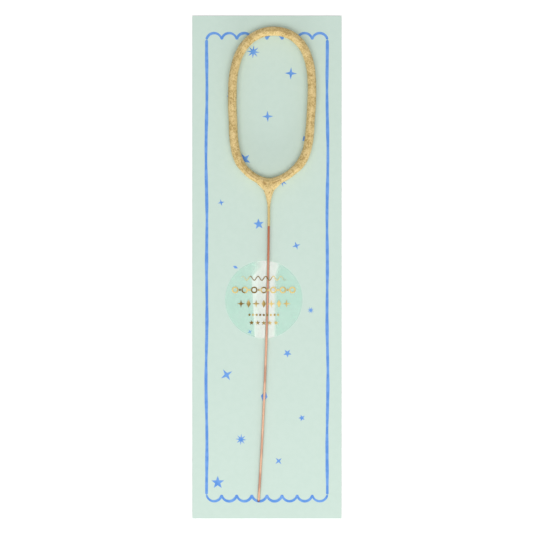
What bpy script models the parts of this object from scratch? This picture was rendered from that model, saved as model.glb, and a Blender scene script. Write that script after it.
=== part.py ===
"""Number sparkler candle in the shape of a nought, held on its display card by a round film label.

The card lies on its back: +X is its right, +Y its top and +Z comes out of the printed face. The origin is the
middle of the card's back. All lengths are in metres.

A copper-plated wire runs from its cut end up the stem, bends at the junction and goes once round the loop. Grey
sparkler mix is dipped round it and has a thin gold coat. Two arms of the loop and the stem meet in one smooth
body, which narrows down the stem as a funnel and ends in a thin sleeve. The sparkler is straight and stiff, so
on the card it rests on the thick foot of its loop and on the cut end of its thin wire, and leans a little.
"""

import math

import bmesh
import bpy
import numpy as np
from mathutils import Vector

# Display card
CARD_WIDTH = 0.0564
CARD_HEIGHT = 0.190
CARD_THICKNESS = 0.0005
CARD_EDGE_EASE = 0.0001

# Loop of the nought, measured on the wire's centreline
LOOP_WIDTH = 0.0291
LOOP_HEIGHT = 0.0569
LOOP_TOP_MARGIN = 0.0062
LOOP_SIDE_SHIFT = 0.0018
LOOP_WAIST_SHARE = 0.394
LOOP_TAPER_SHARE = 0.10
LOOP_LEAN_SHARE = 0.013
SIDE_FULLNESS = 3.4
UPPER_RIGHT_FULLNESS = 2.2
UPPER_LEFT_FULLNESS = 2.0
LOWER_LEFT_FULLNESS = 1.85
LOWER_RIGHT_FULLNESS = 1.45

# Wire: the stem is measured from the junction, the middle of the loop's foot, down to the cut end
WIRE_DIAMETER = 0.0009
WIRE_BEND_RADIUS = 0.0020
WIRE_END_STANDOFF = 0.0005
STEM_LENGTH = 0.1204
STEM_BOW = 0.0039
JUNCTION_SHIFT = 0.00107

# Dipped body: depths are measured from the junction down the stem
COAT_DIAMETER = 0.0035
SKIN_THICKNESS = 0.0002
FUNNEL_MOUTH = 0.0047
FUNNEL_FALL = 0.0030
FUNNEL_END = 0.0085
FUNNEL_END_POWER = 6
MIX_DEPTH = 0.0066
SLEEVE_DEPTH = 0.0164
SLEEVE_WALL = 0.00012
ARM_SLIMMING = 0.0002
SLIM_ARM_LENGTH = 0.014
SLIM_FADE_SHARE = 0.3
CROTCH_DEPTH_SHARE = 1.45
ARM_REACH_SHARE = 3.1
SPOUT_REACH_SHARE = 0.64

# Round label: a film that stands off the card as a tent where it crosses the wire
LABEL_DIAMETER = 0.0292
LABEL_FILM = 0.0001
LABEL_DROP = 0.0441
LABEL_SIDE_SHIFT = 0.0012
TENT_CLEARANCE = 0.0004
TENT_SPREAD_SHARE = 3.0
TENT_OFF_CENTRE_SHARE = 0.06

# Clearances: between stuck layers, and between the sparkler and what it rests on
LAYER_GAP = 0.00005
REST_GAP = 0.0003
CUT_OVERRUN = 0.001

# Fineness of the round surfaces
RING_SIDES = 12
WIRE_SIDES = 8
LOOP_SAMPLES = 4000
HEADING_SAMPLES = 200
STATION_PITCH = 0.0045
STATION_TURN = math.radians(12)
BLEND_STEPS = 5
BEND_STEPS = 6
SPOUT_STEPS = 9
STEM_STEPS = 16
TENT_COLUMNS = 12
TENT_ROWS = 8
LABEL_SIDES = 72
SMOOTH_ANGLE = math.radians(40)
LEFT_FOOT_ANGLE = math.radians(225)

# Finishes: base colour, roughness, metallic, alpha
FINISHES = {
    "mint_board": ((0.61, 0.76, 0.68), 0.7, 0.0, 1.0),
    "clear_film": ((0.62, 0.83, 0.73), 0.3, 0.0, 0.75),
    "copper_plate": ((0.72, 0.40, 0.28), 0.35, 1.0, 1.0),
    "grey_mix": ((0.20, 0.20, 0.20), 0.9, 0.0, 1.0),
    "gold_finish": ((0.66, 0.45, 0.17), 0.6, 0.5, 1.0),
}

# Worked out from the sizes above
WIRE_RADIUS = WIRE_DIAMETER / 2
COAT_RADIUS = COAT_DIAMETER / 2
CHANNEL_RADIUS = WIRE_RADIUS + LAYER_GAP
SLEEVE_RADIUS = CHANNEL_RADIUS + SLEEVE_WALL
CROTCH_DEPTH = CROTCH_DEPTH_SHARE * COAT_RADIUS
ARM_REACH = ARM_REACH_SHARE * COAT_RADIUS
SPOUT_REACH = SPOUT_REACH_SHARE * MIX_DEPTH
LEAN = math.asin((COAT_RADIUS - WIRE_RADIUS) / STEM_LENGTH)
JUNCTION = Vector((
    LOOP_SIDE_SHIFT - JUNCTION_SHIFT,
    CARD_HEIGHT / 2 - LOOP_TOP_MARGIN - LOOP_HEIGHT,
    CARD_THICKNESS + REST_GAP + COAT_RADIUS,
))
LABEL_CENTRE = Vector((-LABEL_SIDE_SHIFT, JUNCTION.y - LABEL_DROP, CARD_THICKNESS + LAYER_GAP))


def clear_scene():
    """Removes every object of the open scene."""
    for obj in list(bpy.data.objects):
        bpy.data.objects.remove(obj, do_unlink=True)


def dress(obj, name):
    """Gives an object one of the finishes as a Principled material."""
    colour, roughness, metallic, alpha = FINISHES[name]
    material = bpy.data.materials.new(name)
    material.use_nodes = True
    shader = material.node_tree.nodes["Principled BSDF"]
    shader.inputs["Base Color"].default_value = (*colour, 1.0)
    shader.inputs["Roughness"].default_value = roughness
    shader.inputs["Metallic"].default_value = metallic
    shader.inputs["Alpha"].default_value = alpha
    obj.data.materials.append(material)


def add_object(name, data, parent=None):
    """Links an object for a mesh, under a parent if there is one."""
    obj = bpy.data.objects.new(name, data)
    bpy.context.collection.objects.link(obj)
    obj.parent = parent
    return obj


def finish_mesh(bm, name, closed=True):
    """Turns a bmesh into a smooth-shaded mesh. The faces of a closed one are made to point out."""
    if closed:
        bmesh.ops.recalc_face_normals(bm, faces=bm.faces)
    mesh = bpy.data.meshes.new(name)
    bm.to_mesh(mesh)
    bm.free()
    mesh.shade_smooth()
    mesh.set_sharp_from_angle(angle=SMOOTH_ANGLE)
    return mesh


def as_cutter(obj):
    """Marks an object as a tool for Boolean cuts, which isn't part of the model."""
    obj.hide_render = True
    obj.display_type = "WIRE"
    return obj


def add_boolean(target, cutter, operation):
    """Adds an exact Boolean modifier."""
    cut = target.modifiers.new(cutter.name, "BOOLEAN")
    cut.operation = operation
    cut.solver = "EXACT"
    cut.object = cutter


class Loop:
    """Centreline of the loop in the sparkler's own plane, with the junction at the origin.

    Each quarter is a superellipse, |x/a|^n + |y/b|^m = 1. The sides share one fullness m, which makes them nearly
    straight, and each quarter's end has a fullness n of its own, because the figure is bent by hand. The quarters
    meet at the waist. Above it the loop widens and leans a little to the right, and below it the other way.
    Places on it are given by the run, the length along it from the junction, anticlockwise, so a small run is on
    the right arm.
    """

    def __init__(self):
        angle = np.linspace(-0.5 * math.pi, 1.5 * math.pi, LOOP_SAMPLES + 1)
        cosine, sine = np.cos(angle), np.sin(angle)
        fullness = np.where(
            sine > 0,
            np.where(cosine > 0, UPPER_RIGHT_FULLNESS, UPPER_LEFT_FULLNESS),
            np.where(cosine > 0, LOWER_RIGHT_FULLNESS, LOWER_LEFT_FULLNESS),
        )
        waist = LOOP_WAIST_SHARE * LOOP_HEIGHT
        x = np.sign(cosine) * np.abs(cosine) ** (2 / fullness) * LOOP_WIDTH / 2
        y = np.sign(sine) * np.abs(sine) ** (2 / SIDE_FULLNESS) * np.where(sine > 0, LOOP_HEIGHT - waist, waist)
        above = 2 * y / LOOP_HEIGHT
        x = x * (1 + LOOP_TAPER_SHARE * above) + LOOP_LEAN_SHARE * LOOP_WIDTH * above
        self.x = x + JUNCTION_SHIFT
        self.y = y + waist
        run = np.concatenate([[0], np.cumsum(np.hypot(np.diff(x), np.diff(y)))])
        self.length = run[-1]
        left_foot = angle > LEFT_FOOT_ANGLE
        junction_run = np.interp(0, self.x[left_foot], run[left_foot])
        self.run = run - junction_run

    def at(self, run):
        """Point of the centreline at a run."""
        x = np.interp(run, self.run, self.x, period=self.length)
        y = np.interp(run, self.run, self.y, period=self.length)
        return np.array([x, y, 0 * x])

    def direction(self, run):
        """Unit tangent at a run, taken over a short chord."""
        reach = self.length / HEADING_SAMPLES / 2
        chord = self.at(run + reach) - self.at(run - reach)
        return chord / np.linalg.norm(chord)

    def stations(self, start, end):
        """Runs between two places, closer together where the loop turns."""
        run = np.linspace(start, end, HEADING_SAMPLES)
        x, y, _ = self.at(run)
        heading = np.unwrap(np.arctan2(np.gradient(y), np.gradient(x)))
        weight = (run - start) / STATION_PITCH + (heading - heading[0]) / STATION_TURN
        count = int(math.ceil(weight[-1]))
        return np.interp(np.linspace(0, weight[-1], count + 1), weight, run)


def stem_side(depth):
    """How far the bowed stem stands to the side at a depth below the junction."""
    return -STEM_BOW * (depth / STEM_LENGTH) ** 2


def funnel_half_width(depth):
    """Half the width of the dip below the junction.

    It falls off to the sleeve as an exponential, which a steep power cuts short at the funnel's end.
    """
    return SLEEVE_RADIUS + FUNNEL_MOUTH * np.exp(-depth / FUNNEL_FALL - (depth / FUNNEL_END) ** FUNNEL_END_POWER)


def funnel_half_depth(depth):
    """Half the front-to-back size of the dip: the smooth lesser of its half width and the coat's radius."""
    return (funnel_half_width(depth) ** -3 + COAT_RADIUS ** -3) ** (-1 / 3)


def arm_slimming(loop, run):
    """How much smaller an arm's radius is near the junction, where mix has drained into the funnel."""
    off = min(run, loop.length - run)
    share = np.clip((SLIM_ARM_LENGTH - off) / (SLIM_FADE_SHARE * SLIM_ARM_LENGTH), 0, 1)
    return ARM_SLIMMING * share**2 * (3 - 2 * share)


def arm_ring(loop, run, inset):
    """Round section of an arm, from the front over the loop's inner side, back and outer side.

    A slimmed section keeps its inner side in line, so it moves inwards by as much as its radius has lost.
    """
    turn = np.linspace(0, 2 * math.pi, RING_SIDES, endpoint=False)
    along = loop.direction(run)
    inward = np.array([-along[1], along[0], 0])
    front = np.array([0, 0, 1])
    spokes = np.outer(np.cos(turn), front) + np.outer(np.sin(turn), inward)
    slimming = arm_slimming(loop, run)
    return loop.at(run) + slimming * inward + (COAT_RADIUS - slimming - inset) * spokes


def spout_ring(depth, inset):
    """Oval section of the funnel, from the front over the right side, back and left side."""
    turn = np.linspace(0, 2 * math.pi, RING_SIDES, endpoint=False)
    x = stem_side(depth) + (funnel_half_width(depth) - inset) * np.sin(turn)
    z = (funnel_half_depth(depth) - inset) * np.cos(turn)
    return np.stack([x, np.full(RING_SIDES, -depth), z], axis=1)


def seam(reach_x, reach_y, inset):
    """Half an oval from the front pole of the junction to the back one, through a point at its side."""
    size = math.hypot(reach_x, reach_y)
    scale = (size - inset) / size
    turn = np.linspace(0, math.pi, RING_SIDES // 2 + 1)
    x = reach_x * scale * np.sin(turn)
    y = reach_y * scale * np.sin(turn)
    z = (COAT_RADIUS - inset) * np.cos(turn)
    return np.stack([x, y, z], axis=1)[1:-1]


def blend_rings(start, start_way, end, end_way):
    """Rings between two others on cubic Hermite curves, which leave and arrive along the given unit ways."""
    span = np.linalg.norm(end - start, axis=1)[:, None]
    rings = []
    for t in np.linspace(0, 1, BLEND_STEPS + 1)[1:-1]:
        ring = (2 * t**3 - 3 * t**2 + 1) * start + (t**3 - 2 * t**2 + t) * span * start_way
        ring = ring + (3 * t**2 - 2 * t**3) * end + (t**3 - t**2) * span * end_way
        rings.append(ring)
    return rings


def unit_rows(rows):
    """Rows of an array as unit vectors."""
    return rows / np.linalg.norm(rows, axis=1)[:, None]


def bridge(bm, rings):
    """Joins each ring of vertices to the next with quads."""
    for ring, following in zip(rings, rings[1:]):
        for i in range(len(ring)):
            j = (i + 1) % len(ring)
            bm.faces.new((ring[i], ring[j], following[j], following[i]))


def make_dipped_body(name, loop, inset, end_depth, parent):
    """Solid of the dip, inset all round, from the loop and its Y-shaped junction down to a depth on the stem.

    Left arm, right arm and spout meet at a front and a back pole and along three seams: one across the loop's
    inner side, and one in each crotch beside the spout. Each opening of this Y is two seams, and a blended
    stretch carries it to a plain section of the arm or of the spout.
    """
    bm = bmesh.new()

    def add(points):
        return [bm.verts.new(point) for point in points]

    half = RING_SIDES // 2
    crotch_x, crotch_y = funnel_half_width(CROTCH_DEPTH), -CROTCH_DEPTH
    across = np.array([-crotch_y, crotch_x, 0]) / math.hypot(crotch_x, crotch_y)
    mirror = np.array([-1, 1, 1])
    pole = np.array([0, 0, COAT_RADIUS - inset])

    front, back = add([pole, -pole])
    inner = add(seam(0, COAT_RADIUS, inset))
    right = add(seam(crotch_x, crotch_y, inset))
    left = add(seam(-crotch_x, crotch_y, inset))
    right_mouth = [front, *inner, back, *right[::-1]]
    left_mouth = [front, *inner, back, *left[::-1]]
    spout_mouth = [front, *right, back, *left[::-1]]

    leave_inner = np.tile([1, 0, 0], (half + 1, 1))
    leave_outer = np.tile(across, (half - 1, 1))
    leave_arm = np.concatenate([leave_inner, leave_outer])
    leave_spout = np.concatenate([[[0, -1, 0]], -leave_outer, [[0, -1, 0]], -leave_outer * mirror])

    def points_of(verts):
        return np.array([vert.co[:] for vert in verts])

    runs = loop.stations(ARM_REACH, loop.length - ARM_REACH)
    arm_sections = [arm_ring(loop, run, inset) for run in runs]
    first_way = np.tile(loop.direction(runs[0]), (RING_SIDES, 1))
    last_way = np.tile(-loop.direction(runs[-1]), (RING_SIDES, 1))
    right_blend = blend_rings(points_of(right_mouth), leave_arm, arm_sections[0], first_way)
    left_blend = blend_rings(points_of(left_mouth), leave_arm * mirror, arm_sections[-1], last_way)
    arm_rings = [add(ring) for ring in right_blend + arm_sections + left_blend[::-1]]
    bridge(bm, [right_mouth, *arm_rings, left_mouth])

    depths = np.geomspace(SPOUT_REACH, end_depth, SPOUT_STEPS)
    spout_sections = [spout_ring(depth, inset) for depth in depths]
    spout_way = unit_rows(spout_sections[1] - spout_sections[0])
    spout_blend = blend_rings(points_of(spout_mouth), leave_spout, spout_sections[0], spout_way)
    spout_rings = [add(ring) for ring in spout_blend + spout_sections]
    bridge(bm, [spout_mouth, *spout_rings])
    bm.faces.new(spout_rings[-1])

    return add_object(name, finish_mesh(bm, name), parent)


def wire_points(loop, lowest_depth, end_length):
    """Centreline of the wire from a depth on the stem, round its bend and the loop, to its tucked end.

    The end stops short of the stem by end_length, measured between the stem's centreline and the end face.
    """
    stem_depths = np.linspace(lowest_depth, WIRE_BEND_RADIUS, STEM_STEPS + 1)
    stem = [(stem_side(depth), -depth, 0) for depth in stem_depths]
    bend = []
    for turn in np.linspace(0, 0.5 * math.pi, BEND_STEPS + 1)[1:]:
        side = WIRE_BEND_RADIUS * (1 - math.cos(turn))
        drop = WIRE_BEND_RADIUS * (1 - math.sin(turn))
        bend.append((side, -drop, 0))
    runs = loop.stations(ARM_REACH, loop.length - ARM_REACH)
    last = loop.length - end_length
    return [*stem, *bend, *[tuple(loop.at(run)) for run in runs], tuple(loop.at(last))]


def make_round_bar(name, points, radius, sides, parent):
    """Round bar of one radius along points in the sparkler's plane, with flat ends."""
    path = np.array(points)
    along = unit_rows(np.gradient(path, axis=0))
    inward = np.stack([-along[:, 1], along[:, 0], 0 * along[:, 0]], axis=1)
    front = np.array([0, 0, 1])
    turn = np.linspace(0, 2 * math.pi, sides, endpoint=False)
    bm = bmesh.new()
    rings = []
    for point, side in zip(path, inward):
        spokes = np.outer(np.cos(turn), front) + np.outer(np.sin(turn), side)
        rings.append([bm.verts.new(corner) for corner in point + radius * spokes])
    bridge(bm, rings)
    bm.faces.new(rings[0])
    bm.faces.new(rings[-1])
    return add_object(name, finish_mesh(bm, name), parent)


def make_sparkler():
    """Wire, mix and gold coat on one empty, which sits at the junction and leans with the sparkler."""
    slide = bpy.data.objects.new("sparkler_slide", None)
    bpy.context.collection.objects.link(slide)
    slide.location = JUNCTION
    slide.rotation_euler = (LEAN, 0, 0)
    loop = Loop()

    end_length = WIRE_RADIUS + WIRE_END_STANDOFF
    points = wire_points(loop, STEM_LENGTH, end_length)
    wire = make_round_bar("wire", points, WIRE_RADIUS, WIRE_SIDES, slide)
    dress(wire, "copper_plate")

    channel_points = wire_points(loop, SLEEVE_DEPTH + CUT_OVERRUN, end_length - LAYER_GAP)
    channel = as_cutter(make_round_bar("wire_channel", channel_points, CHANNEL_RADIUS, RING_SIDES, slide))

    mix = make_dipped_body("sparkler_mix", loop, SKIN_THICKNESS + LAYER_GAP, MIX_DEPTH, slide)
    add_boolean(mix, channel, "DIFFERENCE")
    dress(mix, "grey_mix")

    hollow = make_dipped_body("coat_hollow", loop, SKIN_THICKNESS, MIX_DEPTH + LAYER_GAP, slide)
    as_cutter(hollow)
    coat = make_dipped_body("gold_coat", loop, 0, SLEEVE_DEPTH, slide)
    add_boolean(coat, hollow, "DIFFERENCE")
    add_boolean(coat, channel, "DIFFERENCE")
    dress(coat, "gold_finish")


def make_card():
    """Flat board with slightly eased edges."""
    bm = bmesh.new()
    bmesh.ops.create_cube(bm, size=1)
    size = Vector((CARD_WIDTH, CARD_HEIGHT, CARD_THICKNESS))
    bmesh.ops.scale(bm, vec=size, verts=bm.verts)
    bmesh.ops.translate(bm, vec=(0, 0, CARD_THICKNESS / 2), verts=bm.verts)
    mesh = bpy.data.meshes.new("backing_card")
    bm.to_mesh(mesh)
    bm.free()
    card = add_object("backing_card", mesh)
    ease = card.modifiers.new("eased_edges", "BEVEL")
    ease.width = CARD_EDGE_EASE
    ease.segments = 2
    dress(card, "mint_board")


def tent_rise(across, wire_height):
    """Rise of the film above its flat part: a cosine-squared bell over the wire.

    across runs from -1 to 1 between the tent's two feet. The crest clears the top of the wire.
    """
    crest = wire_height + WIRE_RADIUS + TENT_CLEARANCE
    return crest * np.cos(0.5 * math.pi * across) ** 2


def make_label():
    """Round film label: a sheet with a tent over the wire, trimmed to a disc."""
    reach = LABEL_DIAMETER / 2 + CUT_OVERRUN
    bm = bmesh.new()
    rows = []
    for v in np.linspace(-reach, reach, TENT_ROWS + 1):
        depth = LABEL_DROP - v
        wire_x = JUNCTION.x + stem_side(depth) - LABEL_CENTRE.x
        wire_height = JUNCTION.z - depth * math.tan(LEAN) - LABEL_CENTRE.z
        spread = TENT_SPREAD_SHARE * wire_height
        ridge = wire_x - TENT_OFF_CENTRE_SHARE * spread
        row = [bm.verts.new((-reach, v, 0))]
        for across in np.linspace(-1, 1, TENT_COLUMNS + 1):
            row.append(bm.verts.new((ridge + across * spread, v, tent_rise(across, wire_height))))
        row.append(bm.verts.new((reach, v, 0)))
        rows.append(row)
    for row, following in zip(rows, rows[1:]):
        for i in range(len(row) - 1):
            bm.faces.new((row[i], row[i + 1], following[i + 1], following[i]))
    label = add_object("round_label", finish_mesh(bm, "round_label", closed=False))
    label.location = LABEL_CENTRE
    film = label.modifiers.new("film", "SOLIDIFY")
    film.thickness = LABEL_FILM
    film.offset = 1
    film.use_even_offset = True

    bm = bmesh.new()
    bmesh.ops.create_cone(
        bm, cap_ends=True, segments=LABEL_SIDES, radius1=LABEL_DIAMETER / 2, radius2=LABEL_DIAMETER / 2,
        depth=2 * (JUNCTION.z + CUT_OVERRUN),
    )
    disc = as_cutter(add_object("label_disc", finish_mesh(bm, "label_disc")))
    disc.location = LABEL_CENTRE
    add_boolean(label, disc, "INTERSECT")
    dress(label, "clear_film")


def main():
    """Builds the card, the label and the sparkler."""
    clear_scene()
    make_card()
    make_label()
    make_sparkler()


main()
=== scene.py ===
"""Looks of a number sparkler candle in the shape of a nought, lying on its printed display card.

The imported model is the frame: the card lies on its back, +X is its right, +Y its top and +Z comes out of the
printed face, with the origin in the middle of the card's back. Sizes are in metres, written in millimetres
times MM. A name that ends in share is a part of another size, or a plain factor.

The board and the hidden sparkler mix keep their CAD solids and get a finish. The gold coat, the wire and the
film label are replaced by finer surfaces on the same formulas as the CAD. Ink and foil are thin layers of
their own.
"""

import logging
import math
from dataclasses import dataclass, field
from enum import Enum
from typing import Callable

import bmesh
import bpy
import numpy as np
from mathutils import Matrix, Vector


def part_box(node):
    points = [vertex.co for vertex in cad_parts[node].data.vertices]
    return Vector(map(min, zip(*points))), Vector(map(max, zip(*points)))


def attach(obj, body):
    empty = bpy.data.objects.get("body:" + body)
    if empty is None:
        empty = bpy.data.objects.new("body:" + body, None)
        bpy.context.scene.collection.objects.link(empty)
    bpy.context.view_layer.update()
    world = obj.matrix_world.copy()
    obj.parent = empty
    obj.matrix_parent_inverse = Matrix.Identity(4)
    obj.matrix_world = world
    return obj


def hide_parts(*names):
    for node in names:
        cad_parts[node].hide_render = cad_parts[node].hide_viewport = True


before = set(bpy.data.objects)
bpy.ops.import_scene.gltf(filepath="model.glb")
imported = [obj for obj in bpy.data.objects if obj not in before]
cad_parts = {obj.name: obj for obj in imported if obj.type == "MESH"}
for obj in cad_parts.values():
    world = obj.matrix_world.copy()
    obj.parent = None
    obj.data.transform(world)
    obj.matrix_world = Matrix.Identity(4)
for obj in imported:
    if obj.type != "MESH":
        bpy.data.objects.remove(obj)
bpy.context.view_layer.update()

MM = 0.001
WELD_DISTANCE = 0.001 * MM
SMOOTH_ANGLE = math.radians(40)
GOLDEN_SHARE = (math.sqrt(5) - 1) / 2
STROKE_STEPS = 2

FINE_DETAIL, CLOUD_DETAIL, PLAIN_DETAIL, SMOOTH_DETAIL = 4.0, 3.0, 2.0, 1.0

HASH_FACTORS = np.array([73856093, 19349663, 83492791], np.uint64)
SEED_FACTOR = 2654435761
STIR_FACTOR = np.uint64(6364136223846793005)
HASH_BITS = 24

Array = np.ndarray
Colour = tuple[float, float, float]
Span = tuple[float, float]
Surface = Callable[[Array, Array], Array]
Socket = bpy.types.NodeSocket

UNIT_SPAN: Span = (0.0, 1.0)

log = logging.getLogger("sparkler")


class Slot(Enum):
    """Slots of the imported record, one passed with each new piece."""

    FILM = "label_film"
    COPPER = "copper_wire"
    GOLD = "gold_finish"
    INK = "blue_ink"
    FOIL = "gold_foil"


class Body(Enum):
    """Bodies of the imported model."""

    CARD = "card"
    SPARKLER = "sparkler"


class Noise(Enum):
    """Noises of the coat's relief, each with the number that makes it differ from the others."""

    LUMP = 1
    KNOB = 2
    GRAIN = 3
    RIPPLE = 4
    STREAK = 5
    BREAK = 6


class Motif(Enum):
    """Plain figures of the print and of the foil: points round the figure, and its inner radius's share."""

    STAR = (5, 0.42)
    SPARKLE = (4, 0.30)
    BURST = (8, 0.36)
    LOZENGE = (2, 0.55)
    DOT = (0, 1.0)
    RING = (0, 0.60)

    def outline(self, count: int) -> Array:
        """Works out the figure's unit outline.

        A dot and a ring are circles. The others are star polygons: their corners lie in turn on the unit
        circle and on the inner one, and the outline is read off the straight edges between them.

        Args:
            count: Number of points, evenly spread over the way round.

        Returns:
            Points of the outline, rows of x and y.
        """
        turn = np.linspace(0, 1, count, endpoint=False)
        points, inner = self.value
        if points == 0:
            return np.stack([np.sin(turn * math.tau), np.cos(turn * math.tau)], axis=-1)
        corner = np.arange(2 * points + 1)
        radius = np.where(corner % 2 == 0, 1.0, inner)
        angle = corner * math.pi / points
        x = np.interp(turn * 2 * points, corner, radius * np.sin(angle))
        y = np.interp(turn * 2 * points, corner, radius * np.cos(angle))
        return np.stack([x, y], axis=-1)


def ramp(values: Array, start: float, over: float) -> Array:
    """Rises evenly from 0 at the start to 1 a given way past it, and is level on either side."""
    return np.clip((values - start) / over, 0, 1)


def smooth_step(share: Array) -> Array:
    """Eases a share from 0 to 1 by 3t^2 - 2t^3."""
    return share**2 * (3 - 2 * share)


def unit(ways: Array) -> Array:
    """Scales vectors, which lie along the last axis, to length 1."""
    return ways / np.linalg.norm(ways, axis=-1, keepdims=True)


def left_of(ways: Array) -> Array:
    """Turns ways, one in each row, a quarter to the left in the plane of their X and Y."""
    return np.stack([-ways[:, 1], ways[:, 0], 0 * ways[:, 0]], axis=-1)


def runs(path: Array) -> Array:
    """Length run along a path at each of its points."""
    return np.concatenate([[0], np.cumsum(np.linalg.norm(np.diff(path, axis=0), axis=1))])


def at_runs(path: Array, run: Array, wanted: Array, period: float | None = None) -> Array:
    """Points of a path at some runs, read off straight between its own. A closed path has a period."""
    return np.stack([np.interp(wanted, run, axis, period=period) for axis in path.T], axis=-1)


def lattice_noise(points: Array, pitch: float, noise: Noise) -> Array:
    """Works out smooth noise from 0 to 1.

    Each corner of a cubic lattice gets a number hashed from its place, and the eight numbers round a point
    are mixed by its place in its cell, eased by the smooth step.

    Args:
        points: Places, rows of x, y and z.
        pitch: Width of a cell.
        noise: Which noise it is.

    Returns:
        One number for each place.
    """
    scaled = points / pitch
    cell = np.floor(scaled).astype(np.int64)
    eased = smooth_step(scaled - cell)
    total = np.zeros(len(points))
    for corner in np.ndindex(2, 2, 2):
        hashed = (cell + np.array(corner)).astype(np.uint64) * HASH_FACTORS
        stirred = hashed[:, 0] ^ hashed[:, 1] ^ hashed[:, 2]
        stirred = (stirred + np.uint64(noise.value * SEED_FACTOR)) * STIR_FACTOR
        value = (stirred >> np.uint64(64 - HASH_BITS)).astype(float) / 2**HASH_BITS
        total += value * np.prod(np.where(np.array(corner) == 1, eased, 1 - eased), axis=1)
    return total


def store(mesh: bpy.types.Mesh, name: str, values: Array) -> None:
    """Stores a number on each vertex of a mesh."""
    mesh.attributes.new(name, "FLOAT", "POINT").data.foreach_set("value", values.astype(np.float32))


def take(mesh: bpy.types.Mesh, name: str) -> Array:
    """Reads the numbers stored on a mesh's vertices under a name, and removes them.

    Args:
        mesh: The mesh.
        name: Name that the numbers are stored under.

    Returns:
        One number for each vertex.
    """
    values = np.empty(len(mesh.vertices), np.float32)
    mesh.attributes[name].data.foreach_get("value", values)
    mesh.attributes.remove(mesh.attributes[name])
    return values


def vertex_rows(mesh: bpy.types.Mesh, kind: str) -> Array:
    """Reads the places or the normals of a mesh's vertices.

    Args:
        mesh: The mesh.
        kind: Which they are, co or normal.

    Returns:
        Rows of x, y and z.
    """
    values = np.empty(len(mesh.vertices) * 3, np.float32)
    mesh.vertices.foreach_get(kind, values)
    return values.reshape(-1, 3).astype(float)


@dataclass
class Patch:
    """Vertices and quads of one surface, or of several, with numbers marked on its vertices."""

    points: Array
    faces: Array
    marks: dict[str, Array] = field(default_factory=dict)

    @classmethod
    def grid(cls, points: Array, wrap_rows: bool, wrap_columns: bool) -> "Patch":
        """Makes quads between neighbours of a grid of points.

        Args:
            points: Grid of rows by columns by 3.
            wrap_rows: Whether the last row meets the first.
            wrap_columns: Whether the last column meets the first.

        Returns:
            The surface of the grid.
        """
        rows, columns = points.shape[:2]
        row = np.arange(rows if wrap_rows else rows - 1)[:, None]
        column = np.arange(columns if wrap_columns else columns - 1)[None, :]
        next_row, next_column = (row + 1) % rows, (column + 1) % columns
        corners = [row * columns + column, row * columns + next_column,
                   next_row * columns + next_column, next_row * columns + column]
        return cls(points.reshape(-1, 3), np.stack(corners, axis=-1).reshape(-1, 4))

    @classmethod
    def joined(cls, patches: list["Patch"]) -> "Patch":
        """Puts several surfaces with the same marks into one.

        Args:
            patches: The surfaces.

        Returns:
            One surface, in which each keeps its own vertices.
        """
        starts = np.cumsum([0] + [len(patch.points) for patch in patches])
        faces = [patch.faces + start for patch, start in zip(patches, starts)]
        names = patches[0].marks
        marks = {name: np.concatenate([patch.marks[name] for patch in patches]) for name in names}
        return cls(np.concatenate([patch.points for patch in patches]), np.concatenate(faces), marks)

    def mesh(self, name: str) -> bpy.types.Mesh:
        """Turns the arrays into a smooth-shaded mesh, with its doubles merged and its faces outwards.

        Args:
            name: Name of the mesh.

        Returns:
            The mesh, closed and with its marks stored on its vertices.
        """
        mesh = bpy.data.meshes.new(name)
        mesh.vertices.add(len(self.points))
        mesh.vertices.foreach_set("co", self.points.astype(np.float32).ravel())
        mesh.loops.add(self.faces.size)
        mesh.loops.foreach_set("vertex_index", self.faces.astype(np.int32).ravel())
        mesh.polygons.add(len(self.faces))
        mesh.polygons.foreach_set("loop_start", np.arange(0, self.faces.size, 4, dtype=np.int32))
        mesh.update(calc_edges=True)
        for mark, values in self.marks.items():
            store(mesh, mark, values)
        bm = bmesh.new()
        bm.from_mesh(mesh)
        bmesh.ops.remove_doubles(bm, verts=bm.verts, dist=WELD_DISTANCE)
        bmesh.ops.recalc_face_normals(bm, faces=bm.faces)
        bm.to_mesh(mesh)
        bm.free()
        mesh.shade_smooth()
        mesh.set_sharp_from_angle(angle=SMOOTH_ANGLE)
        return mesh


@dataclass(frozen=True)
class Layer:
    """Thin closed layer laid on a surface.

    Each row of it runs from its inner to its outer point along its underside and comes back along its top.
    The height of a point is the surface's height there plus the lift, and plus the thickness on the top.
    """

    surface: Surface
    lift: float
    thickness: float

    def between(self, inner: Array, outer: Array, steps: int, ring: bool, hole: bool) -> Patch:
        """Lays the layer between two edges.

        Args:
            inner: Points of the inner edge, rows of x and y.
            outer: Points of the outer edge, as many as the inner one has.
            steps: Number of faces from edge to edge.
            ring: Whether the edges are closed.
            hole: Whether the inner edge is a real edge, and not a single point in the middle.

        Returns:
            The layer's surface.
        """
        share = np.linspace(0, 1, steps + 1)[None, :, None]
        flat = inner[:, None, :] * (1 - share) + outer[:, None, :] * share
        height = self.surface(flat[..., 0], flat[..., 1])[..., None] + self.lift
        under = np.concatenate([flat, height], axis=-1)
        over = np.concatenate([flat, height + self.thickness], axis=-1)
        return Patch.grid(np.concatenate([under, over[:, ::-1]], axis=1), ring, hole)

    def stroke(self, path: Array, half_width: Array) -> Patch:
        """Draws a pen stroke, whose edges are its path moved to either side along its normal.

        Args:
            path: Points of the stroke, rows of x and y.
            half_width: How far each point moves.

        Returns:
            The stroke.
        """
        aside = left_of(unit(np.gradient(path, axis=0)))[:, :2] * half_width[:, None]
        return self.between(path - aside, path + aside, STROKE_STEPS, False, True)


def add_object(name: str, data: bpy.types.ID) -> bpy.types.Object:
    """Adds an object with the given data to the scene.

    Args:
        name: Name of the object.
        data: Its mesh, lamp or camera.

    Returns:
        The new object.
    """
    added = bpy.data.objects.new(name, data)
    bpy.context.scene.collection.objects.link(added)
    return added


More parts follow.
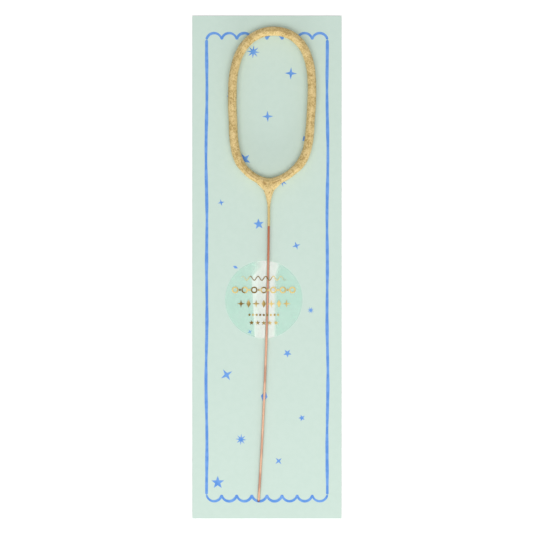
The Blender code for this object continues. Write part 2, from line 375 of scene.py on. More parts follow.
def place_piece(name: str, mesh: bpy.types.Mesh, material: bpy.types.Material, body: Body, slot: Slot,
                *replaced: str) -> bpy.types.Object:
    """Adds a piece to the scene, dressed and on its body.

    Args:
        name: Name of the piece.
        mesh: Its mesh, already in place.
        material: Its finish.
        body: The body that it rides on.
        slot: The record's slot for the piece; it is not used.
        *replaced: CAD nodes that it stands for.

    Returns:
        The new object.
    """
    mesh.materials.append(material)
    piece = add_object(name, mesh)
    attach(piece, body.value)
    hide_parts(*replaced)
    log.info("%s: %d faces on %s", name, len(mesh.polygons), body.value)
    return piece


def dress_solid(node: str, material: bpy.types.Material) -> None:
    """Gives a CAD solid its finish.

    Args:
        node: Name of the CAD node.
        material: Its finish.
    """
    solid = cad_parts[node]
    solid.data.materials.clear()
    solid.data.materials.append(material)
    log.info("%s: CAD solid dressed", node)


class NodeGraph:
    """Node tree with short calls for its nodes and links."""

    def __init__(self, tree: bpy.types.NodeTree) -> None:
        """Keeps the tree."""
        self.tree = tree

    def node(self, kind: str, **settings: object) -> bpy.types.Node:
        """Adds a node.

        Args:
            kind: Blender's name of its type.
            **settings: Values of its properties.

        Returns:
            The node.
        """
        node = self.tree.nodes.new(kind)
        for key, value in settings.items():
            setattr(node, key, value)
        return node

    def feed(self, socket: Socket, value: object) -> None:
        """Links an output to a socket, or sets a plain value on it.

        Args:
            socket: The input that is fed.
            value: An output, a number, a vector or a colour.
        """
        if isinstance(value, bpy.types.NodeSocket):
            self.tree.links.new(value, socket)
        elif isinstance(value, tuple) and socket.type == "RGBA":
            socket.default_value = (*value, 1.0)
        else:
            socket.default_value = value

    def fed(self, kind: str, *values: object) -> bpy.types.Node:
        """Adds a node and feeds its first inputs in order.

        Args:
            kind: Blender's name of its type.
            *values: What its inputs are fed with.

        Returns:
            The node.
        """
        node = self.node(kind)
        for socket, value in zip(node.inputs, values):
            self.feed(socket, value)
        return node

    def combine(self, operation: str, first: object, second: object) -> Socket:
        """Adds a Math node.

        Args:
            operation: Blender's name of the operation.
            first: Its first number.
            second: Its second number.

        Returns:
            The node's output.
        """
        node = self.fed("ShaderNodeMath", first, second)
        node.operation = operation
        return node.outputs[0]

    def background_share(self) -> Socket:
        """Adds the Light Path nodes that pick rays from the camera, reflections and glass.

        Returns:
            An output that is 1 for these rays and 0 for the others.
        """
        path = self.node("ShaderNodeLightPath")
        share = path.outputs["Is Camera Ray"]
        for name in ("Is Glossy Ray", "Is Transmission Ray"):
            share = self.combine("MAXIMUM", share, path.outputs[name])
        return share


class ShaderGraph(NodeGraph):
    """Node tree of a material with a Principled shader, with calls for the nodes that the finishes share."""

    def __init__(self, name: str) -> None:
        """Starts the material.

        Args:
            name: Name of the material.
        """
        self.material = bpy.data.materials.new(name)
        self.material.use_nodes = True
        super().__init__(self.material.node_tree)
        self.shader = self.tree.nodes["Principled BSDF"]
        self.place = self.node("ShaderNodeTexCoord").outputs["Object"]

    def set(self, **values: object) -> None:
        """Feeds the shader's sockets, named with underscores for spaces."""
        for key, value in values.items():
            self.feed(self.shader.inputs[key.replace("_", " ")], value)

    def axis(self, letter: str) -> Socket:
        """Gives one coordinate of the place on the piece."""
        return self.fed("ShaderNodeSeparateXYZ", self.place).outputs[letter]

    def stretched(self, scale: tuple[float, float, float]) -> Socket:
        """Gives the place on the piece, scaled along its axes.

        Args:
            scale: Factors along X, Y and Z.

        Returns:
            The scaled place.
        """
        node = self.node("ShaderNodeMapping")
        self.feed(node.inputs["Vector"], self.place)
        self.feed(node.inputs["Scale"], scale)
        return node.outputs[0]

    def noise(self, pitch: float, detail: float = PLAIN_DETAIL, place: Socket | None = None) -> Socket:
        """Adds a noise.

        Args:
            pitch: About how wide its features are.
            detail: How many finer noises it adds to the first.
            place: Where it is read, or else the place on the piece.

        Returns:
            The noise, from 0 to 1.
        """
        node = self.node("ShaderNodeTexNoise")
        self.feed(node.inputs["Vector"], self.place if place is None else place)
        self.feed(node.inputs["Scale"], 1 / pitch)
        self.feed(node.inputs["Detail"], detail)
        return node.outputs["Fac"]

    def spread(self, value: Socket, span: Span, to: Span = UNIT_SPAN) -> Socket:
        """Maps a range to another with a smooth step, clamped at its ends.

        Args:
            value: What is mapped.
            span: Values at which the step begins and ends.
            to: What it gives there.

        Returns:
            The mapped value.
        """
        node = self.fed("ShaderNodeMapRange", value, *span, *to)
        node.interpolation_type = "SMOOTHSTEP"
        return node.outputs[0]

    def mix(self, share: Socket, first: object, second: object) -> Socket:
        """Mixes two colours.

        Args:
            share: Share of the second colour.
            first: The first colour.
            second: The second colour.

        Returns:
            The mixed colour.
        """
        node = self.node("ShaderNodeMix", data_type="RGBA")
        self.feed(node.inputs["Factor"], share)
        for name, colour in (("A_Color", first), ("B_Color", second)):
            self.feed(next(socket for socket in node.inputs if socket.identifier == name), colour)
        return next(socket for socket in node.outputs if socket.identifier == "Result_Color")

    def attribute(self, name: str) -> Socket:
        """Reads a number stored on the piece's vertices."""
        return self.node("ShaderNodeAttribute", attribute_name=name).outputs["Fac"]

    def bump(self, height: Socket, distance: float) -> None:
        """Gives the shader a relief whose height is a share of the distance.

        Args:
            height: The share.
            distance: The height at a share of 1.
        """
        node = self.node("ShaderNodeBump")
        for name, value in (("Strength", 1.0), ("Distance", distance), ("Height", height)):
            self.feed(node.inputs[name], value)
        self.set(Normal=node.outputs[0])


@dataclass(frozen=True)
class PrintedBoard:
    """Coated board: a flat pale green face over an off-white core, with a faint paper grain."""

    face: Colour = (0.655, 0.803, 0.722)
    face_shade: Colour = (0.642, 0.792, 0.710)
    core: Colour = (0.780, 0.770, 0.720)
    core_shade: Colour = (0.700, 0.690, 0.640)
    fibre: float = 0.25 * MM
    fibre_span: Span = (0.4, 0.6)
    mottle: float = 2.2 * MM
    mottle_span: Span = (0.35, 0.65)
    relief: float = 0.006 * MM
    roughness: float = 0.68
    specular: float = 0.35

    def material(self, face_height: float) -> bpy.types.Material:
        """Makes the finish.

        Args:
            face_height: Height above which the board counts as its printed face.

        Returns:
            The material.
        """
        graph = ShaderGraph("printed_board")
        fibre = graph.noise(self.fibre, CLOUD_DETAIL)
        mottle = graph.spread(graph.noise(self.mottle, FINE_DETAIL), self.mottle_span)
        face = graph.mix(mottle, self.face, self.face_shade)
        core = graph.mix(graph.spread(fibre, self.fibre_span), self.core, self.core_shade)
        printed = graph.combine("GREATER_THAN", graph.axis("Z"), face_height)
        graph.set(Base_Color=graph.mix(printed, core, face), Roughness=self.roughness,
                  Specular_IOR_Level=self.specular)
        graph.bump(fibre, self.relief)
        return graph.material


@dataclass(frozen=True)
class BlueInk:
    """Flat blue ink, a little thinner here and there, as from a soft pen."""

    full: Colour = (0.125, 0.320, 0.790)
    thin: Colour = (0.185, 0.400, 0.860)
    patch: float = 2.5 * MM
    patch_span: Span = (0.38, 0.66)
    fibre: float = 0.2 * MM
    relief: float = 0.004 * MM
    roughness: float = 0.6
    specular: float = 0.3

    def material(self) -> bpy.types.Material:
        """Makes the finish.

        Returns:
            The material.
        """
        graph = ShaderGraph("blue_ink")
        thin = graph.spread(graph.noise(self.patch, CLOUD_DETAIL), self.patch_span)
        graph.set(Base_Color=graph.mix(thin, self.full, self.thin), Roughness=self.roughness,
                  Specular_IOR_Level=self.specular)
        graph.bump(graph.noise(self.fibre), self.relief)
        return graph.material


@dataclass(frozen=True)
class TintedFilm:
    """Translucent film: green where it sticks to the card, milky where it stands off, clear on the wire."""

    stuck: Colour = (0.370, 0.680, 0.560)
    stuck_alpha: float = 0.30
    raised: Colour = (0.970, 0.970, 0.930)
    raised_alpha: float = 0.70
    clear_alpha: float = 0.06
    haze: float = 5.0 * MM
    haze_span: Span = (0.35, 0.65)
    haze_shares: Span = (0.86, 1.10)
    ripple: float = 3.0 * MM
    relief: float = 0.01 * MM
    roughness: float = 0.32
    specular: float = 0.4

    def material(self) -> bpy.types.Material:
        """Makes the finish from the numbers raised, over_wire and upper on the film's vertices.

        All of the tint lies on the film's top, so that both its sides together count once.

        Returns:
            The material.
        """
        graph = ShaderGraph("tinted_film")
        raised = graph.attribute("raised")
        uneven = graph.spread(graph.noise(self.haze, CLOUD_DETAIL), self.haze_span, self.haze_shares)
        alpha = graph.spread(raised, UNIT_SPAN, (self.stuck_alpha, self.raised_alpha))
        clear = (1.0, self.clear_alpha / self.raised_alpha)
        for factor in (uneven, graph.spread(graph.attribute("over_wire"), UNIT_SPAN, clear),
                       graph.attribute("upper")):
            alpha = graph.combine("MULTIPLY", alpha, factor)
        graph.set(Base_Color=graph.mix(raised, self.stuck, self.raised), Roughness=self.roughness,
                  Specular_IOR_Level=self.specular, Alpha=alpha)
        graph.bump(graph.noise(self.ripple), self.relief)
        return graph.material


@dataclass(frozen=True)
class GoldFoil:
    """Hot-stamped foil with painted reflections: dark and bright patches, drawn out along the wire."""

    bright: Colour = (0.860, 0.660, 0.260)
    dark: Colour = (0.240, 0.150, 0.035)
    patch: float = 3.5 * MM
    patch_scale: tuple[float, float, float] = (1.0, 0.35, 1.0)
    patch_span: Span = (0.38, 0.60)
    grain: float = 0.12 * MM
    relief: float = 0.002 * MM
    roughness: float = 0.3
    metallic: float = 0.9

    def material(self) -> bpy.types.Material:
        """Makes the finish.

        Returns:
            The material.
        """
        graph = ShaderGraph("gold_foil")
        # Painted reflections: dark and bright patches of the base colour, drawn out along Y.
        patches = graph.noise(self.patch, SMOOTH_DETAIL, graph.stretched(self.patch_scale))
        colour = graph.mix(graph.spread(patches, self.patch_span), self.dark, self.bright)
        graph.set(Base_Color=colour, Metallic=self.metallic, Roughness=self.roughness)
        graph.bump(graph.noise(self.grain), self.relief)
        return graph.material


@dataclass(frozen=True)
class CopperPlate:
    """Copper-plated steel wire, redder beside the dip and paler below the label.

    Fine draw marks and tarnish cover it, and painted shade darkens both its flanks.
    """

    red: Colour = (0.515, 0.175, 0.090)
    mid: Colour = (0.740, 0.325, 0.215)
    pale: Colour = (0.855, 0.520, 0.355)
    tarnish: Colour = (0.640, 0.340, 0.240)
    stain: Colour = (0.380, 0.150, 0.080)
    burr: Colour = (0.150, 0.060, 0.035)
    fade: float = 28.0 * MM
    tarnish_pitch: float = 12.0 * MM
    tarnish_span: Span = (0.52, 0.62)
    burr_length: float = 1.0 * MM
    mark: float = 0.10 * MM
    mark_scale: tuple[float, float, float] = (1.0, 1 / 6, 1.0)
    mark_span: Span = (0.5, 0.75)
    patch: float = 5.0 * MM
    patch_span: Span = (0.4, 0.7)
    patch_stains: Span = (0.1, 0.6)
    # Painted shade on the wire's flanks.
    flank_span: Span = (0.5, 1.0)
    flank_stains: Span = (0.0, 0.6)
    relief: float = 0.006 * MM
    roughness: float = 0.40
    metallic: float = 0.35
    specular: float = 0.25

    def material(self, top: float, label: float, end: float) -> bpy.types.Material:
        """Makes the finish, which changes between three places along Y.

        Args:
            top: The coat's lower end.
            label: The middle of the label.
            end: The wire's cut end.

        Returns:
            The material.
        """
        graph = ShaderGraph("copper_plate")
        down = graph.axis("Y")
        upper = graph.mix(graph.spread(down, (label, top)), self.mid, self.red)
        tarnished = graph.spread(graph.noise(self.tarnish_pitch, SMOOTH_DETAIL), self.tarnish_span)
        lower = graph.mix(tarnished, self.pale, self.tarnish)
        base = graph.mix(graph.spread(down, (label - self.fade, label), (1.0, 0.0)), upper, lower)
        base = graph.mix(graph.spread(down, (end, end + self.burr_length)), self.burr, base)
        marks = graph.noise(self.mark, CLOUD_DETAIL, graph.stretched(self.mark_scale))
        patches = graph.spread(graph.noise(self.patch, CLOUD_DETAIL), self.patch_span, self.patch_stains)
        stain_and_shade_share = graph.combine("MULTIPLY", graph.spread(marks, self.mark_span), patches)
        # Painted shade on both flanks, mixed with the stains of the draw marks and tarnish.
        flank = graph.spread(graph.attribute("flank"), self.flank_span, self.flank_stains)
        stain_and_shade_share = graph.combine("MAXIMUM", stain_and_shade_share, flank)
        graph.set(Base_Color=graph.mix(stain_and_shade_share, base, self.stain), Metallic=self.metallic,
                  Roughness=self.roughness, Specular_IOR_Level=self.specular)
        graph.bump(marks, self.relief)
        return graph.material


@dataclass(frozen=True)
class GoldFinish:
    """Matt gold paint with metal flakes over a grainy dip, painted shade in hollows, painted light on ridges.
    """

    body: Colour = (0.590, 0.430, 0.168)
    bright: Colour = (0.830, 0.640, 0.310)
    # Ochre of the painted shade.
    hollow: Colour = (0.300, 0.165, 0.050)
    grain: float = 0.20 * MM
    grain_share: float = 0.6
    flake: float = 0.12 * MM
    flake_span: Span = (0.35, 0.65)
    flake_relief_share: float = 0.3
    cloud: float = 2.8 * MM
    cloud_span: Span = (0.3, 0.7)
    cloud_shares: Span = (0.85, 1.0)
    # Painted highlights and painted shade are spread by the share stored on the coat.
    lit_span: Span = (0.50, 1.10)
    worn_span: Span = (0.62, 0.44)
    worn_share: float = 0.40
    relief: float = 0.03 * MM
    roughnesses: Span = (0.36, 0.58)
    metallic: float = 0.10
    specular: float = 0.30

    def material(self) -> bpy.types.Material:
        """Makes the finish from its noises and from the painted shade and light stored on the coat's vertices.

        Returns:
            The material.
        """
        graph = ShaderGraph("gold_finish")
        grain = graph.noise(self.grain, FINE_DETAIL)
        flake = graph.noise(self.flake, SMOOTH_DETAIL)
        cloud = graph.spread(graph.noise(self.cloud, CLOUD_DETAIL), self.cloud_span, self.cloud_shares)
        grained = graph.combine("MULTIPLY", grain, self.grain_share)
        # Painted highlights: the pale colour where the stored share is high, on proud relief and the lit
        # places of the coat.
        ridge = graph.combine("ADD", graph.attribute("ridge"), grained)
        lit = graph.combine("MULTIPLY", graph.spread(ridge, self.lit_span), cloud)
        paint = graph.mix(lit, self.body, self.bright)
        # Painted shade: the ochre colour in deep relief, and in the pits and the crease that the coat stores.
        deep_shade = graph.combine("MULTIPLY", graph.spread(ridge, self.worn_span), self.worn_share)
        deep = graph.combine("MAXIMUM", graph.attribute("hollow"), deep_shade)
        graph.set(Base_Color=graph.mix(deep, paint, self.hollow), Metallic=self.metallic,
                  Specular_IOR_Level=self.specular,
                  Roughness=graph.spread(flake, self.flake_span, self.roughnesses))
        flaked = graph.combine("MULTIPLY", flake, self.flake_relief_share)
        graph.bump(graph.combine("ADD", grain, flaked), self.relief)
        return graph.material


@dataclass(frozen=True)
class GreyMix:
    """Dry sparkler mix: dull grey with pale metal grains and dark binder."""

    dark: Colour = (0.130, 0.130, 0.128)
    pale: Colour = (0.340, 0.340, 0.335)
    grain: float = 0.22 * MM
    grain_span: Span = (0.4, 0.66)
    relief: float = 0.03 * MM
    roughness: float = 0.92

    def material(self) -> bpy.types.Material:
        """Makes the finish.

        Returns:
            The material.
        """
        graph = ShaderGraph("grey_mix")
        grain = graph.noise(self.grain, FINE_DETAIL)
        colour = graph.mix(graph.spread(grain, self.grain_span), self.dark, self.pale)
        graph.set(Base_Color=colour, Roughness=self.roughness)
        graph.bump(grain, self.relief)
        return graph.material


@dataclass
class DisplayCard:
    """Board with its print: a scalloped line frame and a scatter of small figures.

    A wave's named length is that of one radian of it, so the whole wave is tau times as long.
    """

    face_skin: float = 0.05 * MM
    ink_lift: float = 0.004 * MM
    ink_thickness: float = 0.016 * MM
    stroke_step: float = 0.002 * MM
    frame_inset: float = 5.4 * MM
    scallop_margin: float = 6.6 * MM
    scallop_rise: float = 2.5 * MM
    scallops: int = 8
    scallop_points: int = 60
    scallop_pen: float = 0.9 * MM
    side_pen: float = 1.1 * MM
    side_points: int = 400
    side_layer: int = 2
    sway: float = 0.22 * MM
    sway_length: float = 9.0 * MM
    pen_pitch: float = 0.2 * MM
    pen_change_share: float = 0.15
    pen_wave_shares: Span = (0.6, 0.4)
    pen_wave_lengths: Span = (4.0 * MM, 1.7 * MM)
    figures: int = 21
    figure_margin: float = 4.2 * MM
    figure_radii: tuple[float, ...] = (2.5 * MM, 1.6 * MM, 2.1 * MM, 1.3 * MM, 2.3 * MM)
    small_radius: float = 1.0 * MM
    motifs: tuple[Motif, ...] = (Motif.STAR, Motif.SPARKLE, Motif.BURST,
                                 Motif.STAR, Motif.LOZENGE, Motif.SPARKLE)
    outline_points: int = 80
    high: Array = field(init=False)

    def __post_init__(self) -> None:
        """Reads the board's upper corner from the frame."""
        self.high = np.array(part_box("backing_card")[1])

    def face(self, x: Array, y: Array) -> Array:
        """Height of the printed face."""
        return np.full(np.shape(x), self.high[2])

    def ink(self, layer: int = 0) -> Layer:
        """Ink in a layer that lies a hair above the last, so that strokes may cross."""
        return Layer(self.face, self.ink_lift + layer * self.stroke_step, self.ink_thickness)

    def pen_stroke(self, path: Array, pen: float, layer: int) -> Patch:
        """Draws one pen stroke of the frame.

        Its half width swells and thins in two sine waves, one slow and one fast, and at both ends it follows
        a circle, so the ends are round.

        Args:
            path: Points of the stroke, rows of x and y.
            pen: Width of the pen.
            layer: Number of the layer that it lies in.

        Returns:
            The stroke.
        """
        run = runs(path)
        even = np.linspace(0, run[-1], round(run[-1] / self.pen_pitch))
        path = at_runs(path, run, even)
        slow, fast = self.pen_wave_lengths
        slow_share, fast_share = self.pen_wave_shares
        wave = slow_share * np.sin(even / slow + layer + path[0, 0] / MM) + fast_share * np.sin(even / fast)
        inside = ramp(np.minimum(even, even[::-1]), 0, pen / 2)
        half_width = pen / 2 * (1 + self.pen_change_share * wave) * np.sqrt(1 - (1 - inside) ** 2)
        return self.ink(layer).stroke(path, half_width)

    def frame_patch(self) -> Patch:
        """Draws the frame: two sides that sway a little, and a row of scallops at the top and at the foot.

        A scallop is an arc of a circle, drawn as a stroke of its own. Its radius is the squares of half its
        chord and of its rise, added up and divided by twice its rise. It reaches to either side by an angle
        of twice the arc tangent of its rise over half its chord.

        Returns:
            All the strokes.
        """
        half = self.high[0] - self.frame_inset
        top = self.high[1] - self.scallop_margin - self.scallop_rise
        down = np.linspace(top, -top, self.side_points)
        sway = self.sway * np.sin(math.pi * (down / top + 1)) * np.sin(down / self.sway_length)
        sides = [np.stack([side * (half + sway), side * down], axis=-1) for side in (-1, 1)]
        strokes = [self.pen_stroke(line, self.side_pen, self.side_layer) for line in sides]
        half_chord = half / self.scallops
        radius = (half_chord**2 + self.scallop_rise**2) / (2 * self.scallop_rise)
        reach = 2 * math.atan(self.scallop_rise / half_chord)
        angle = np.linspace(-reach, reach, self.scallop_points)
        arc = np.stack([radius * np.sin(angle), radius * (np.cos(angle) - 1) + self.scallop_rise], axis=-1)
        for number in range(self.scallops):
            scallop = arc + np.array([(2 * number + 1) * half_chord - half, top])
            for side in (-1, 1):
                strokes.append(self.pen_stroke(side * scallop, self.scallop_pen, number % 2))
        return Patch.joined(strokes)

    def figure_patch(self, number: int) -> Patch:
        """Draws one figure of the scatter.

        The figures step down the card at an even pitch and across it by the golden share. One that would lie
        under the label is small.

        Args:
            number: Number of the figure, from 0.

        Returns:
            The figure.
        """
        share = np.array([number * GOLDEN_SHARE % 1, (number + 0.5) / self.figures])
        centre = (2 * share - 1) * (self.high[:2] - self.frame_inset - self.figure_margin)
        motif = self.motifs[number % len(self.motifs)]
        radius = self.figure_radii[number % len(self.figure_radii)]
        low, high = (np.array(corner)[:2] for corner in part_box("round_label"))
        if np.all((low < centre) & (centre < high)):
            radius = self.small_radius
        tilt = number * GOLDEN_SHARE * math.tau
        spin = np.array([[math.cos(tilt), math.sin(tilt)], [-math.sin(tilt), math.cos(tilt)]])
        outline = motif.outline(self.outline_points) @ spin * radius
        return self.ink().between(centre + 0 * outline, centre + outline, 1, True, False)

    def build(self) -> None:
        """Dresses the board and adds its print."""
        dress_solid("backing_card", PrintedBoard().material(self.high[2] - self.face_skin))
        ink = BlueInk().material()
        place_piece("frame_print", self.frame_patch().mesh("frame_print"), ink, Body.CARD, Slot.INK)
        figures = Patch.joined([self.figure_patch(number) for number in range(self.figures)])
        place_piece("figure_print", figures.mesh("figure_print"), ink, Body.CARD, Slot.INK)


@dataclass
class DippedFigure:
    """Sparkler in its own plane: a loop on a stem, dipped and coated, with its junction at the origin."""

    loop_width: float = 29.1 * MM
    loop_height: float = 56.9 * MM
    loop_side_shift: float = 1.8 * MM
    loop_top_margin: float = 6.2 * MM
    junction_shift: float = 1.07 * MM
    waist_share: float = 0.394
    taper_share: float = 0.10
    lean_share: float = 0.013
    side_fullness: float = 3.4
    end_fullness: tuple[float, float, float, float] = (2.2, 2.0, 1.85, 1.45)
    wire_diameter: float = 0.9 * MM
    bend_radius: float = 2.0 * MM
    end_standoff: float = 0.5 * MM
    stem_length: float = 120.4 * MM
    stem_bow: float = 3.9 * MM
    coat_diameter: float = 3.5 * MM
    sleeve_radius: float = 0.50 * MM
    funnel_mouth: float = 4.7 * MM
    funnel_fall: float = 3.0 * MM
    funnel_end: float = 8.5 * MM
    funnel_end_power: int = 6
    sleeve_depth: float = 16.4 * MM
    slimming: float = 0.2 * MM
    slim_length: float = 14.0 * MM
    slim_fade_share: float = 0.3
    crotch_depth_share: float = 1.45
    arm_reach_share: float = 3.1
    spout_reach: float = 4.224 * MM
    tip_shares: tuple[float, ...] = (0.93, 0.8, 0.0)
    rest_gap: float = 0.3 * MM
    thin_from: float = 3.0 * MM
    thin_over: float = 6.0 * MM
    samples: int = 4000
    tangent_parts: int = 400
    sides: int = 72
    pitch: float = 0.19 * MM
    least_blend: int = 4
    spout_rows: int = 60
    wire_sides: int = 20
    wire_pitch: float = 0.5 * MM
    wire_end_shares: tuple[float, ...] = (0.0, 0.80, 0.95, 1.0)
    wire_end_insets: tuple[float, ...] = (0.0, 0.0, 0.08 * MM, 0.2 * MM)
    stem_points: int = 240
    bend_points: int = 12
    loop_points: int = 600
    line: Array = field(init=False)
    run: Array = field(init=False)
    length: float = field(init=False)
    coat_radius: float = field(init=False)
    wire_radius: float = field(init=False)
    arm_reach: float = field(init=False)
    lean: float = field(init=False)
    junction: Array = field(init=False)

    def __post_init__(self) -> None:
        """Works out the loop's centreline and the sparkler's place.

        Each quarter is a superellipse, |x/a|^n + |y/b|^m = 1, with one fullness m for the sides and an end
        fullness n of its own. Quarters meet at the waist. Above it the loop widens and leans to the right,
        and below it the other way. The run is the length along it, anticlockwise from the junction.
        """
        angle = np.linspace(-0.5 * math.pi, 1.5 * math.pi, self.samples + 1)
        cosine, sine = np.cos(angle), np.sin(angle)
        upper_right, upper_left, lower_left, lower_right = self.end_fullness
        upper = np.where(cosine > 0, upper_right, upper_left)
        lower = np.where(cosine > 0, lower_right, lower_left)
        waist = self.waist_share * self.loop_height
        x = np.sign(cosine) * np.abs(cosine) ** (2 / np.where(sine > 0, upper, lower)) * self.loop_width / 2
        reach = np.where(sine > 0, self.loop_height - waist, waist)
        y = np.sign(sine) * np.abs(sine) ** (2 / self.side_fullness) * reach
        above = 2 * y / self.loop_height
        x = x * (1 + self.taper_share * above) + self.lean_share * self.loop_width * above
        self.line = np.stack([x + self.junction_shift, y + waist, 0 * x], axis=-1)
        run = runs(self.line)
        self.length = run[-1]
        left_foot = angle > 1.25 * math.pi
        self.run = run - np.interp(0, self.line[left_foot, 0], run[left_foot])
        self.coat_radius = self.coat_diameter / 2
        self.wire_radius = self.wire_diameter / 2
        self.arm_reach = self.arm_reach_share * self.coat_radius
        self.lean = math.asin((self.coat_radius - self.wire_radius) / self.stem_length)
        card_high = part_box("backing_card")[1]
        self.junction = np.array([
            self.loop_side_shift - self.junction_shift,
            card_high.y - self.loop_top_margin - self.loop_height,
            card_high.z + self.rest_gap + self.coat_radius,
        ])

    def at(self, run: Array) -> Array:
        """Points of the loop's centreline at some runs, one row each."""
        return at_runs(self.line, self.run, run, self.length)

    def direction(self, run: Array) -> Array:
        """Unit tangents at some runs, taken over a short chord."""
        reach = self.length / self.tangent_parts
        return unit(self.at(run + reach) - self.at(run - reach))

    def stem_side(self, depth: Array) -> Array:
        """How far the bowed stem stands to the side at a depth below the junction: a parabola."""
        return -self.stem_bow * (depth / self.stem_length) ** 2

    def in_place(self, points: Array) -> Array:
        """Carries points from the sparkler's plane to the card.

        Args:
            points: Points in the plane, rows of x, y and z.

        Returns:
            The points turned by the small lean about X and moved to the junction's place.
        """
        cosine, sine = math.cos(self.lean), math.sin(self.lean)
        lean = np.array([[1, 0, 0], [0, cosine, -sine], [0, sine, cosine]])
        return points @ lean.T + self.junction

    def ring_turn(self) -> Array:
        """Angles round a section of the dip."""
        return np.linspace(0, math.tau, self.sides, endpoint=False)

    def arm_slimming(self, run: Array) -> Array:
        """How much smaller an arm's radius is beside the junction: a smooth step over its fade.

        Args:
            run: Runs along the loop.

        Returns:
            What the radius loses at each of them.
        """
        off = np.minimum(run, self.length - run)
        share = ramp(self.slim_length - off, 0, self.slim_fade_share * self.slim_length)
        return self.slimming * smooth_step(share)

    def arm_rings(self, run: Array) -> Array:
        """Round sections of the arms, from the front over the loop's inner side, back and outer side.

        A slimmed section keeps its inner side in line, so it moves inwards by as much as its radius has lost.

        Args:
            run: Runs along the loop.

        Returns:
            One ring of points for each of them.
        """
        turn = self.ring_turn()[None, :, None]
        inward = left_of(self.direction(run))[:, None, :]
        spokes = np.cos(turn) * np.array([0.0, 0.0, 1.0]) + np.sin(turn) * inward
        slim = self.arm_slimming(run)[:, None, None]
        return self.at(run)[:, None, :] + slim * inward + (self.coat_radius - slim) * spokes

    def funnel_half_width(self, depth: Array) -> Array:
        """Half the width of the dip: an exponential fall to the sleeve, cut short by a steep power."""
        fall = -depth / self.funnel_fall - (depth / self.funnel_end) ** self.funnel_end_power
        return self.sleeve_radius + self.funnel_mouth * np.exp(fall)

    def spout_rings(self, depth: Array, scale: Array) -> Array:
        """Oval sections of the funnel and sleeve, from the front over the right side, back and left side.

        Half the width is the funnel's formula, and half the depth is the smooth lesser of it and of the
        coat's radius: the inverse cube root of the sum of their inverse cubes.

        Args:
            depth: Depths below the junction.
            scale: What each section's size is multiplied by.

        Returns:
            One ring of points for each depth.
        """
        turn = self.ring_turn()
        width = self.funnel_half_width(depth)
        thick = (width**-3 + self.coat_radius**-3) ** (-1 / 3)
        x = self.stem_side(depth)[:, None] + (scale * width)[:, None] * np.sin(turn)
        z = (scale * thick)[:, None] * np.cos(turn)
        return np.stack([x, np.broadcast_to(-depth[:, None], x.shape), z], axis=-1)

    def seam(self, reach_x: float, reach_y: float) -> Array:
        """Half an oval from the front pole of the junction to the back one.

        Args:
            reach_x: The x of the point at its side that it goes through.
            reach_y: The y of that point.

        Returns:
            Points of the seam.
        """
        turn = np.linspace(0, math.pi, self.sides // 2 + 1)
        sine = np.sin(turn)
        return np.stack([reach_x * sine, reach_y * sine, self.coat_radius * np.cos(turn)], axis=-1)

    def blend(self, start: Array, start_way: Array, end: Array, end_way: Array) -> Array:
        """Makes rings between two others on cubic Hermite curves.

        Args:
            start: The first ring, which is left out.
            start_way: Unit ways in which the curves leave it.
            end: The last ring, which is left out.
            end_way: Unit ways in which they reach it.

        Returns:
            The rings in between.
        """
        span = np.linalg.norm(end - start, axis=-1, keepdims=True)
        count = max(self.least_blend, math.ceil(float(span.max()) / self.pitch))
        t = np.linspace(0, 1, count + 1)[1:-1, None, None]
        ring = (2 * t**3 - 3 * t**2 + 1) * start + (t**3 - 2 * t**2 + t) * span * start_way
        return ring + (3 * t**2 - 2 * t**3) * end + (t**3 - t**2) * span * end_way

    def marked(self, rings: Array, arms: bool) -> Patch:
        """Makes the surface of some rings, marked for the relief.

        The mark along is the length run so far by the rings' middles, and inner and front are the sine and
        the cosine of the place round a ring. The mark off is the distance from the junction on the arms, and
        thin grows from 0 to 1 down the funnel. Off and thin are 0 at the seams, where arms and funnel meet.

        Args:
            rings: Rings of the arms or of the funnel, each from the front over the inner side to the back.
            arms: Whether they are the arms, which leave the junction at both ends.

        Returns:
            The marked surface.
        """
        run = runs(rings.mean(axis=1))
        off = np.minimum(run, run[-1] - run) if arms else 0 * run
        thin = 0 * run if arms else ramp(run, self.thin_from, self.thin_over)
        turn = np.broadcast_to(self.ring_turn(), rings.shape[:2])
        patch = Patch.grid(rings, False, True)
        for name, values in (("along", run if arms else -run), ("off", off), ("thin", thin)):
            patch.marks[name] = np.repeat(values, self.sides)
        patch.marks["inner"], patch.marks["front"] = np.sin(turn).ravel(), np.cos(turn).ravel()
        return patch

    def coat_patch(self) -> Patch:
        """Makes the outer surface of the dip: both arms, the funnel and the sleeve as one smooth Y.

        Left arm, right arm and spout meet at a front and a back pole and along three seams. Each opening of
        the Y is two seams, and a blended stretch carries it to a plain section of the arm or of the spout.

        Returns:
            The surface in the sparkler's plane, still open along its seams until its doubles are merged.
        """
        crotch_depth = self.crotch_depth_share * self.coat_radius
        crotch_width = float(self.funnel_half_width(np.array(crotch_depth)))
        across = np.array([crotch_depth, crotch_width, 0]) / math.hypot(crotch_depth, crotch_width)
        mirror = np.array([-1, 1, 1])
        inner = self.seam(0, self.coat_radius)
        right = self.seam(crotch_width, -crotch_depth)
        left = self.seam(-crotch_width, -crotch_depth)
        right_mouth = np.concatenate([inner, right[-2:0:-1]])
        left_mouth = np.concatenate([inner, left[-2:0:-1]])
        spout_mouth = np.concatenate([right, left[-2:0:-1]])
        half = self.sides // 2
        leave_arm = np.concatenate([np.tile([1.0, 0, 0], (half + 1, 1)), np.tile(across, (half - 1, 1))])
        down = np.array([[0.0, -1, 0]])
        fall = np.tile(-across, (half - 1, 1))
        leave_spout = np.concatenate([down, fall, down, fall * mirror])

        first, last = self.arm_reach, self.length - self.arm_reach
        run = np.linspace(first, last, round((last - first) / self.pitch))
        rings = self.arm_rings(run)
        ways = self.direction(run[[0, -1]])
        right_blend = self.blend(right_mouth, leave_arm, rings[0], ways[0])
        left_blend = self.blend(left_mouth, leave_arm * mirror, rings[-1], -ways[1])
        arms = [right_mouth[None], right_blend, rings, left_blend[::-1], left_mouth[None]]

